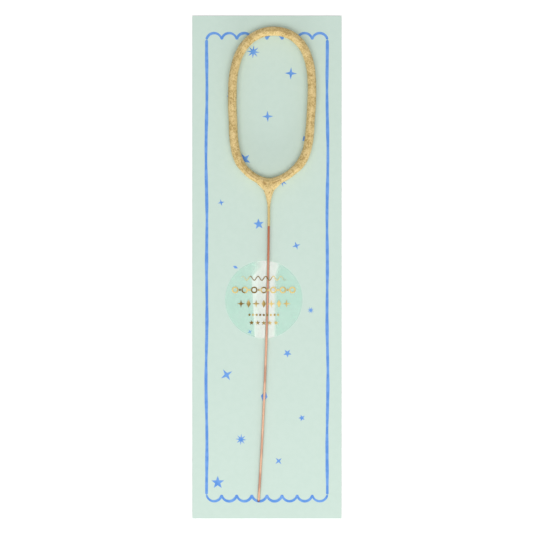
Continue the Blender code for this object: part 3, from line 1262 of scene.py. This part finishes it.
        depth = np.geomspace(self.spout_reach, self.sleeve_depth, self.spout_rows)
        spout = self.spout_rings(depth, np.ones(len(depth)))
        spout_blend = self.blend(spout_mouth, leave_spout, spout[0], unit(spout[1] - spout[0]))
        tip = self.spout_rings(np.full(len(self.tip_shares), self.sleeve_depth), np.array(self.tip_shares))
        stem = np.concatenate([spout_mouth[None], spout_blend, spout, tip])
        return Patch.joined([self.marked(np.concatenate(arms), True), self.marked(stem, False)])

    def wire_patch(self) -> Patch:
        """Makes the wire: the stem, its bend at the junction and the loop, a circle carried along them.

        The stem is the bowed parabola, the bend a quarter circle and the loop its superellipses, read again
        at an even pitch. Both ends are rounded off by rings that shrink to a point.

        Returns:
            The surface in the sparkler's plane, marked for the painted shade on the wire's flanks.
        """
        depth = np.linspace(self.stem_length, self.bend_radius, self.stem_points)
        stem = np.stack([self.stem_side(depth), -depth, 0 * depth], axis=-1)
        turn = np.linspace(0, 0.5 * math.pi, self.bend_points)[1:]
        bend = self.bend_radius * np.stack([1 - np.cos(turn), np.sin(turn) - 1, 0 * turn], axis=-1)
        last = self.length - self.wire_radius - self.end_standoff
        loop = self.at(np.linspace(self.arm_reach, last, self.loop_points))
        path = np.concatenate([stem, bend, loop])
        run = runs(path)
        path = at_runs(path, run, np.linspace(0, run[-1], round(run[-1] / self.wire_pitch)))
        along = unit(np.gradient(path, axis=0))
        side = left_of(along)
        end, inset = np.array(self.wire_end_shares), np.array(self.wire_end_insets)[:, None]
        scale = np.concatenate([end, np.ones(len(path) - 2), end[::-1]])
        path = np.concatenate([path[0] + inset * along[0], path[1:-1], path[-1] - inset[::-1] * along[-1]])
        start_side, end_side = (np.tile(side[number], (len(end), 1)) for number in (0, -1))
        side = np.concatenate([start_side, side[1:-1], end_side])
        spin = np.linspace(0, math.tau, self.wire_sides, endpoint=False)[None, :, None]
        spokes = np.cos(spin) * np.array([0.0, 0.0, 1.0]) + np.sin(spin) * side[:, None, :]
        patch = Patch.grid(path[:, None, :] + self.wire_radius * scale[:, None, None] * spokes, False, True)
        # Share of the painted shade on the wire's flanks, most at its sides.
        patch.marks["flank"] = np.tile(np.abs(np.sin(spin.ravel())), len(path))
        return patch


@dataclass
class SparklerSkin:
    """Relief of the gold coat, with painted light and shade, worked out from the marks of its surface and from
    noise.

    Broad lumps swell and thin the dip, ripples cross the arms, streaks run along them, and a crease follows
    the front of both arms into the junction, with a fainter one on the loop's crown. Grain covers it all,
    with pits. Painted shade darkens the pits, the crease, deep relief, and the sides turned away from the
    light about the junction and the crown. A dark oval in the fork of the Y is partly the coat's own colour
    and partly painted shade. Painted highlights brighten proud relief, the arms' outer sides beside the
    junction, the fork's upper lip and the funnel.
    """

    inset: float = 0.08 * MM
    deepest: float = 0.19 * MM
    lump: float = 0.22 * MM
    lump_pitch: float = 5.0 * MM
    knob: float = 0.08 * MM
    knob_pitch: float = 1.6 * MM
    ripple: float = 0.06 * MM
    ripple_pitch: float = 0.95 * MM
    ripples_round: float = 0.8
    streak: float = 0.04 * MM
    streak_length: float = 6.0 * MM
    streaks_round: float = 3.2
    grain: float = 0.05 * MM
    grain_pitch: float = 0.32 * MM
    crease: float = 0.17 * MM
    crease_width_share: float = 0.13
    crease_slant_share: float = 0.42
    crease_length: float = 13.0 * MM
    crease_power: float = 0.3
    # Share of the crease painted as shade.
    crease_stain: float = 0.80
    break_from: float = 0.16
    break_over: float = 0.40
    crown_place_share: float = -0.10
    crown_length: float = 10.0 * MM
    crown_strength: float = 0.6
    # Painted light share of the relief: its middle, and the shares of ripples, streaks, grain and knobs.
    ridge_middle: float = 0.5
    ridge_shares: tuple[float, float, float, float] = (0.4, 0.35, 0.8, 0.3)
    # Painted shade and painted highlights about the junction, the crown, the fork, its lip and the funnel.
    dull: float = 0.12
    dull_ease_share: float = 0.45
    side_share: float = 0.22
    crown_dull_share: float = 0.6
    fork_reach: tuple[float, float] = (3.0 * MM, 1.9 * MM)
    fork_drop: float = 0.8 * MM
    fork_ease_share: float = 0.5
    fork_share: float = 1.3
    lip_from_share: float = 0.33
    lip_over_share: float = 0.33
    lip_lit_share: float = 2.0
    funnel_from: float = 1.5 * MM
    funnel_lit_share: float = 1.9
    arm_ease: float = 5.0 * MM
    pits: int = 70
    pit_depth: float = 0.10 * MM
    pit_radius: float = 0.24 * MM
    sleeve_share: float = 0.12
    seed: int = 9

    def pit_share(self, points: Array) -> Array:
        """Share of the full pit depth: a bell round each of some vertices chosen by lot.

        Args:
            points: Vertices, one row each.

        Returns:
            One number for each vertex.
        """
        chosen = np.random.default_rng(self.seed).choice(len(points), self.pits, replace=False)
        share = np.zeros(len(points))
        for centre in points[chosen]:
            distance = np.sum((points - centre) ** 2, axis=1)
            share = np.maximum(share, np.exp(-distance / self.pit_radius**2))
        return share

    def nearness(self, off: Array) -> tuple[Array, Array]:
        """How near vertices lie to the junction and to the loop's crown, each from 0 to 1."""
        return 1 - ramp(off, 0, self.crease_length), 1 - ramp(off.max() - off, 0, self.crown_length)

    def crease_share(self, marks: dict[str, Array], broken: Array) -> Array:
        """Share of the full crease depth: a bell across a line on the front of the arms.

        The line slants from the middle of the arm's front to its outer side as it nears the junction, fades
        in beside it and out again along the arm, and is broken up by noise. The crown, as far from the
        junction as the arms go, has a fainter one.

        Args:
            marks: The marks of the surface.
            broken: The noise, one number for each vertex.

        Returns:
            One number for each vertex.
        """
        off = marks["off"]
        near, crown = self.nearness(off)
        line = -self.crease_slant_share * near**2 + self.crown_place_share * (crown > 0)
        bell = np.exp(-(((marks["inner"] - line) / self.crease_width_share) ** 2))
        fade = near**self.crease_power * ramp(off, 0, self.grain_pitch)
        fade = fade + self.crown_strength * crown**self.crease_power
        return bell * fade * (marks["front"] > 0) * ramp(broken, self.break_from, self.break_over)

    def dull_share(self, points: Array, marks: dict[str, Array], junction: Array) -> Array:
        """Share of painted shade, less than nothing where highlights are painted.

        Near the junction painted shade lies on the inner side of the arms' crease, which faces away from the
        light, and painted highlights on the outer side. At the crown painted shade lies all round, most of all
        on the outer side, which faces away from the light. A dark oval fills the fork of the Y on its front,
        partly the coat's own colour and partly painted shade. Its upper lip and the funnel below it get
        painted highlights.

        Args:
            points: Vertices, one row each.
            marks: The marks of the surface.
            junction: Place of the junction.

        Returns:
            One number for each vertex.
        """
        off, inner = marks["off"], marks["inner"]
        near, crown = self.nearness(off)
        near = near * ramp(off, 0, self.grain_pitch)
        across = (inner + self.crease_slant_share * near**2) / self.dull_ease_share
        # Painted shade on the arms' side away from the light near the junction, painted highlights on the
        # other.
        side = self.side_share * np.sqrt(near) * np.clip(across, -1, 1)
        # Painted shade all round the crown, heaviest on its outer side.
        crown_shade = np.clip(self.crown_dull_share - inner / self.dull_ease_share, self.crown_dull_share, 1)
        x, y = (points - junction)[:, :2].T
        reach_x, reach_y = self.fork_reach
        oval = 1 - (x / reach_x) ** 2 - ((y + self.fork_drop) / reach_y) ** 2
        # A dark oval in the fork, partly the coat's own colour and partly painted shade.
        fork = self.fork_share * ramp(oval, 0, self.fork_ease_share) * (marks["front"] > 0)
        # Painted highlights on the fork's upper lip and on the funnel.
        lip = ramp(inner, self.lip_from_share, self.lip_over_share) * (0 < y) * (y < reach_x)
        lip = self.lip_lit_share * lip * np.clip(1 - (x / reach_x) ** 2, 0, 1)
        funnel = self.funnel_lit_share * ramp(-y, self.funnel_from, self.funnel_from) * (1 - marks["thin"])
        return np.maximum(side, fork) + np.sqrt(crown) * crown_shade - lip - funnel

    def apply(self, mesh: bpy.types.Mesh, junction: Array) -> None:
        """Moves each vertex inwards along its normal, and stores painted shade and painted light for the
        finish.

        A hyperbolic tangent squashes the way in between nothing and the deepest, so that no grey mix shows.

        Args:
            mesh: The coat's mesh, with its marks, which are taken away again.
            junction: Place of the junction.
        """
        points, normals = vertex_rows(mesh, "co"), vertex_rows(mesh, "normal")
        marks = {name: take(mesh, name) for name in ("along", "off", "thin", "inner", "front")}
        arm = ramp(marks["off"], 0, self.arm_ease)
        round_arm = np.stack([marks["inner"], marks["front"]], axis=-1)
        across = np.column_stack([marks["along"] / self.ripple_pitch, round_arm * self.ripples_round])
        lengthwise = np.column_stack([marks["along"] / self.streak_length, round_arm * self.streaks_round])
        lumps = lattice_noise(points, self.lump_pitch, Noise.LUMP) - 0.5
        knobs = lattice_noise(points, self.knob_pitch, Noise.KNOB) - 0.5
        ripples = (lattice_noise(across, 1.0, Noise.RIPPLE) - 0.5) * arm
        streaks = (lattice_noise(lengthwise, 1.0, Noise.STREAK) - 0.5) * arm
        grain = lattice_noise(points, self.grain_pitch, Noise.GRAIN) - 0.5
        pits = self.pit_share(points)
        crease = self.crease_share(marks, lattice_noise(points, self.ripple_pitch, Noise.BREAK))
        depth = self.lump * lumps + self.knob * knobs + self.ripple * ripples + self.streak * streaks
        depth += self.inset + self.grain * grain + self.pit_depth * pits + self.crease * crease
        depth = self.deepest / 2 * (1 + np.tanh(2 * depth / self.deepest - 1))
        share = 1 - (1 - self.sleeve_share) * marks["thin"]
        moved = points - normals * (depth * share)[:, None]
        mesh.vertices.foreach_set("co", moved.astype(np.float32).ravel())
        # Painted light share: high on proud relief and painted highlights, low in deep relief and painted
        # shade.
        reliefs = (ripples, streaks, grain, knobs)
        ridge = self.ridge_middle - sum(part * own for part, own in zip(self.ridge_shares, reliefs)) * share
        ridge -= self.dull * self.dull_share(points, marks, junction)
        # Painted shade in the pits and the crease.
        hollow = np.maximum(pits, self.crease_stain * crease) * share
        for name, values in (("hollow", hollow), ("ridge", ridge)):
            store(mesh, name, np.clip(values, 0, 1))
        mesh.update()


@dataclass
class Sparkler:
    """Wire, mix and gold coat, which come off the card together."""

    figure: DippedFigure = field(default_factory=DippedFigure)
    skin: SparklerSkin = field(default_factory=SparklerSkin)

    def build_coat(self) -> None:
        """Makes the gold coat with its relief."""
        patch = self.figure.coat_patch()
        patch.points = self.figure.in_place(patch.points)
        mesh = patch.mesh("dipped_coat")
        self.skin.apply(mesh, self.figure.junction)
        place_piece("dipped_coat", mesh, GoldFinish().material(), Body.SPARKLER, Slot.GOLD, "gold_coat")

    def build_wire(self, label_place: float) -> None:
        """Makes the wire, whose plating changes along the stem.

        Args:
            label_place: The middle of the label along Y.
        """
        figure = self.figure
        patch = figure.wire_patch()
        patch.points = figure.in_place(patch.points)
        top, end = (figure.junction[1] - depth for depth in (figure.sleeve_depth, figure.stem_length))
        plate = CopperPlate().material(top, label_place, end)
        place_piece("plated_wire", patch.mesh("plated_wire"), plate, Body.SPARKLER, Slot.COPPER, "wire")

    def build(self, label_place: float) -> None:
        """Dresses the hidden CAD mix, and builds the wire and the coat.

        Args:
            label_place: The middle of the label along Y.
        """
        dress_solid("sparkler_mix", GreyMix().material())
        self.build_wire(label_place)
        self.build_coat()


@dataclass(frozen=True)
class FoilRow:
    """Row of foil figures, evenly spaced and taken in turn from some motifs.

    Its height is above the label's middle, and half is half its length.
    """

    motifs: tuple[Motif, ...]
    count: int
    height: float
    half: float
    radius: float


@dataclass
class RoundLabel:
    """Round film label over the stem: flat on the card, with a tent where it crosses the wire."""

    figure: DippedFigure
    film: float = 0.1 * MM
    card_gap: float = 0.05 * MM
    tent_clearance: float = 0.4 * MM
    tent_spread_share: float = 3.0
    tent_off_centre_share: float = 0.06
    milk_shift_share: float = 0.215
    milk_lean_share: float = 0.13
    milk_reach_shares: Span = (0.97, 1.10)
    milk_ease_shares: Span = (0.04, 0.30)
    rim_share: float = 0.78
    rim_over_share: float = 0.50
    crown_from_share: float = 0.55
    crown_over_share: float = 0.30
    crown_ease_share: float = 0.90
    crown_shift_share: float = 0.24
    wire_band: float = 0.62 * MM
    band_ease: float = 0.12 * MM
    rows: int = 120
    columns: int = 180
    foil_lift: float = 0.004 * MM
    foil_thickness: float = 0.012 * MM
    outline_points: int = 48
    drape_steps: int = 4
    wave_place: float = 8.0 * MM
    wave_half: float = 8.6 * MM
    wave_height: float = 0.75 * MM
    wave_pen: float = 0.35 * MM
    wave_points: int = 240
    waves: int = 6
    foil_rows: tuple[FoilRow, ...] = (
        FoilRow((Motif.RING,), count=7, height=3.6 * MM, half=10.8 * MM, radius=1.25 * MM),
        FoilRow((Motif.DOT,), count=6, height=3.6 * MM, half=9.0 * MM, radius=0.42 * MM),
        FoilRow((Motif.SPARKLE, Motif.LOZENGE), count=7, height=-1.6 * MM, half=8.6 * MM, radius=1.5 * MM),
        FoilRow((Motif.DOT,), count=9, height=-5.8 * MM, half=5.4 * MM, radius=0.42 * MM),
        FoilRow((Motif.STAR,), count=5, height=-8.8 * MM, half=4.6 * MM, radius=0.95 * MM),
    )
    centre: Array = field(init=False)
    radius: float = field(init=False)
    base: float = field(init=False)

    def __post_init__(self) -> None:
        """Reads the label's place from the frame."""
        low, high = (np.array(corner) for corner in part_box("round_label"))
        self.centre = (low[:2] + high[:2]) / 2
        self.radius = (high[0] - low[0]) / 2
        self.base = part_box("backing_card")[1].z + self.card_gap

    def wire_place(self, y: Array) -> tuple[Array, Array]:
        """Works out where the wire's middle lies.

        Args:
            y: Places along Y.

        Returns:
            Its x there, and its height above the film's base.
        """
        depth = self.figure.junction[1] - y
        x = self.figure.junction[0] + self.figure.stem_side(depth)
        return x, self.figure.junction[2] - depth * math.tan(self.figure.lean) - self.base

    def across(self, x: Array, y: Array) -> Array:
        """Works out the place across the tent.

        Args:
            x: Places on the card.
            y: Places on the card.

        Returns:
            0 on the tent's ridge, and 1 or -1 at its feet.
        """
        wire_x, wire_height = self.wire_place(y)
        spread = self.tent_spread_share * wire_height
        return (x - wire_x + self.tent_off_centre_share * spread) / spread

    def underside(self, x: Array, y: Array) -> Array:
        """Height of the film's underside: a cosine-squared bell over the wire, flat beside it.

        Args:
            x: Places on the card.
            y: Places on the card.

        Returns:
            One height for each place.
        """
        crest = self.wire_place(y)[1] + self.figure.wire_radius + self.tent_clearance
        across = np.clip(self.across(x, y), -1, 1)
        return self.base + crest * np.cos(0.5 * math.pi * across) ** 2

    def top(self, x: Array, y: Array) -> Array:
        """Height of the film's top."""
        return self.underside(x, y) + self.film

    def milky_share(self, x: Array, y: Array) -> Array:
        """How milky the film is: 1 where it stands off the card, 0 where it sticks.

        The milky band lies a little to the left of the tent, the more so the higher up. Its left edge is
        crisp, a little clearer than the rest, and soft only at the label's top. Its right edge is soft, and
        keeps to the tent at the top.

        Args:
            x: Places on the card.
            y: Places on the card.

        Returns:
            One number for each place.
        """
        height = (y - self.centre[1]) / self.radius
        crown = ramp(height, self.crown_from_share, self.crown_over_share)
        place = self.across(x, y) + self.milk_shift_share + self.milk_lean_share * height
        from_left = self.milk_reach_shares[0] + place
        from_right = self.milk_reach_shares[1] - place + self.crown_shift_share * crown
        left = ramp(from_left, 0, self.milk_ease_shares[0] + self.crown_ease_share * crown)
        rim = np.clip(self.rim_share + (1 - self.rim_share) * from_left / self.rim_over_share, 0, 1)
        return left * rim * ramp(from_right, 0, self.milk_ease_shares[1])

    def film_mesh(self) -> bpy.types.Mesh:
        """Makes the film as a disc of chords.

        Returns:
            The mesh, with numbers for where it is milky, where it crosses the wire and where it is its top.
        """
        turn = np.linspace(-0.5 * math.pi, 0.5 * math.pi, self.rows + 1)
        y = self.centre[1] + self.radius * np.sin(turn)
        chord = self.radius * np.cos(turn)
        left, right = (np.stack([self.centre[0] + side * chord, y], axis=-1) for side in (-1, 1))
        film = Layer(self.underside, 0.0, self.film)
        mesh = film.between(left, right, self.columns, False, True).mesh("tented_film")
        x, y, z = vertex_rows(mesh, "co").T
        store(mesh, "raised", self.milky_share(x, y))
        beside = np.abs(x - self.wire_place(y)[0])
        store(mesh, "over_wire", ramp(self.wire_band + self.band_ease - beside, 0, self.band_ease))
        store(mesh, "upper", z > self.underside(x, y) + self.film / 2)
        return mesh

    def foil(self) -> Layer:
        """Foil, draped over the film."""
        return Layer(self.top, self.foil_lift, self.foil_thickness)

    def foil_figure(self, motif: Motif, x: float, y: float, radius: float) -> Patch:
        """Makes one foil figure.

        Args:
            motif: Which figure it is.
            x: Its middle, from the label's.
            y: Its middle, from the label's.
            radius: Its outer radius.

        Returns:
            The figure.
        """
        outline = motif.outline(self.outline_points) * radius
        centre = self.centre + np.array([x, y])
        hole = motif is Motif.RING
        inner = centre + outline * (motif.value[1] if hole else 0)
        return self.foil().between(inner, centre + outline, self.drape_steps, True, hole)

    def foil_row(self, row: FoilRow) -> list[Patch]:
        """Makes the figures of one row."""
        places = zip(np.linspace(-row.half, row.half, row.count), row.motifs * row.count)
        return [self.foil_figure(motif, x, row.height, row.radius) for x, motif in places]

    def foil_wave(self) -> Patch:
        """Makes the wavy foil line: a sine wave drawn with a pen that starts and ends in a point.

        Returns:
            The line.
        """
        share = np.linspace(0, 1, self.wave_points)
        y = self.wave_place + self.wave_height * np.sin(share * self.waves * math.tau)
        path = self.centre + np.stack([self.wave_half * (2 * share - 1), y], axis=-1)
        return self.foil().stroke(path, self.wave_pen / 2 * np.sqrt(np.sin(math.pi * share)))

    def build(self) -> None:
        """Adds the film and its foil."""
        film = place_piece("tented_film", self.film_mesh(), TintedFilm().material(), Body.CARD, Slot.FILM,
                           "round_label")
        film.visible_shadow = False
        figures = [figure for row in self.foil_rows for figure in self.foil_row(row)]
        foil = Patch.joined([self.foil_wave(), *figures]).mesh("foil_ornament")
        place_piece("foil_ornament", foil, GoldFoil().material(), Body.CARD, Slot.FOIL)


@dataclass(frozen=True)
class Lamp:
    """Rectangular soft lamp, aimed at the middle of the card. Gloss mirrors the white world in its place."""

    name: str
    place: tuple[float, float, float]
    size: tuple[float, float]
    power: float

    def hang(self) -> None:
        """Adds the lamp to the scene."""
        data = bpy.data.lights.new(self.name, "AREA")
        data.shape = "RECTANGLE"
        data.size, data.size_y = self.size
        data.energy = self.power
        lamp = add_object(self.name, data)
        lamp.location = self.place
        lamp.rotation_euler = (-lamp.location).to_track_quat("-Z", "Y").to_euler()
        lamp.visible_glossy = False


@dataclass
class Studio:
    """White floor, soft light and the camera straight above the card."""

    lens: float = 120.0
    sensor: float = 36.0
    field_width: float = 201.3 * MM
    aim: tuple[float, float] = (-0.17 * MM, 0.26 * MM)
    floor_half: float = 1.0
    floor_gap: float = 0.3 * MM
    floor_colour: Colour = (0.80, 0.80, 0.80)
    floor_glow: float = 0.42
    world_colour: Colour = (1.0, 1.0, 1.0)
    world_strengths: Span = (0.36, 1.0)
    lamps: tuple[Lamp, ...] = (
        Lamp("high", place=(0.0, -0.44, 1.16), size=(1.50, 0.80), power=10.7),
        Lamp("low_front", place=(0.02, -0.75, 0.135), size=(0.50, 0.18), power=3.0),
    )

    def build_floor(self) -> None:
        """Lays a wide white floor, which takes shadows and clips to white where it is lit."""
        material = bpy.data.materials.new("white_floor")
        material.use_nodes = True
        material.node_tree.nodes.clear()
        graph = NodeGraph(material.node_tree)
        matt = graph.fed("ShaderNodeBsdfDiffuse", self.floor_colour)
        glow = graph.node("ShaderNodeEmission")
        share = graph.combine("MULTIPLY", graph.background_share(), self.floor_glow)
        graph.feed(glow.inputs["Strength"], share)
        both = graph.fed("ShaderNodeAddShader", matt.outputs[0], glow.outputs[0])
        graph.fed("ShaderNodeOutputMaterial", both.outputs[0])

        half, level = self.floor_half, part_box("backing_card")[0].z - self.floor_gap
        mesh = bpy.data.meshes.new("floor")
        corners = [(-half, -half, level), (half, -half, level), (half, half, level), (-half, half, level)]
        mesh.from_pydata(corners, [], [(0, 1, 2, 3)])
        mesh.materials.append(material)
        floor = add_object("floor", mesh)

    def build_world(self) -> None:
        """Makes the world an even soft light, white to the camera and in reflections."""
        world = bpy.data.worlds.new("studio")
        world.use_nodes = True
        graph = NodeGraph(world.node_tree)
        light = graph.tree.nodes["Background"]
        graph.feed(light.inputs["Color"], self.world_colour)
        share = graph.background_share()
        strength = graph.fed("ShaderNodeMapRange", share, *UNIT_SPAN, *self.world_strengths)
        graph.feed(light.inputs["Strength"], strength.outputs[0])
        bpy.context.scene.world = world

    def build_camera(self) -> None:
        """Puts the camera straight above the card, as far away as its field needs."""
        data = bpy.data.cameras.new("camera")
        data.lens, data.sensor_width = self.lens, self.sensor
        camera = add_object("camera", data)
        distance = self.field_width * self.lens / self.sensor
        camera.location = (*self.aim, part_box("backing_card")[1].z + distance)
        bpy.context.scene.camera = camera

    def build(self) -> None:
        """Builds floor, light and camera."""
        self.build_camera()
        self.build_floor()
        self.build_world()
        for lamp in self.lamps:
            lamp.hang()
        bpy.context.scene.view_settings.view_transform = "Standard"
        log.info("studio: camera, floor, world and %d lamps", len(self.lamps))


def main() -> None:
    """Builds the studio and the pieces in order."""
    logging.basicConfig(level=logging.INFO, format="%(name)s %(message)s")
    Studio().build()
    DisplayCard().build()
    sparkler = Sparkler()
    label = RoundLabel(sparkler.figure)
    sparkler.build(float(label.centre[1]))
    label.build()


if __name__ == "__main__":
    main()
